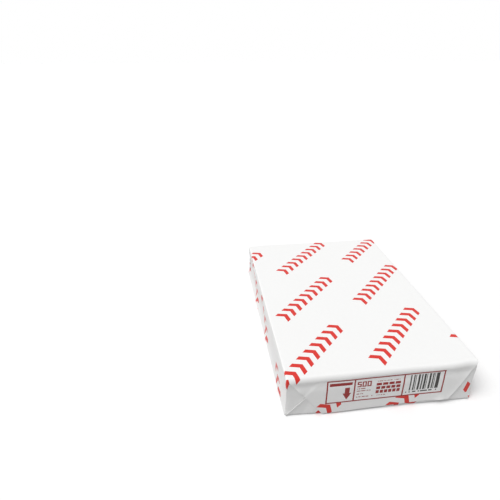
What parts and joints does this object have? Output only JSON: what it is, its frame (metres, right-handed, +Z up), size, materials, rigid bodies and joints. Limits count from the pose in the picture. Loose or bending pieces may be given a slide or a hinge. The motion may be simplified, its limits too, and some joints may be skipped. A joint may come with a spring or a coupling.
{
  "type": "ream of paper",
  "caption": "Sealed ream of A4 copier paper in a printed wrapper, its ends closed by mitred, glued flaps; lies flat.",
  "frame": {"origin": "centre of the underside", "axes": "+Z up through the stack of sheets; Y along the sheets' length, with the labelled front end at -Y; X across the sheets' width"},
  "size_m": [0.211, 0.2988, 0.0529],
  "materials": {
    "wrapper": "smooth coated white wrapper paper with red print"
  },
  "bodies": {
    "root": {"wrapped_ream": "wrapper"}
  },
  "joints": []
}
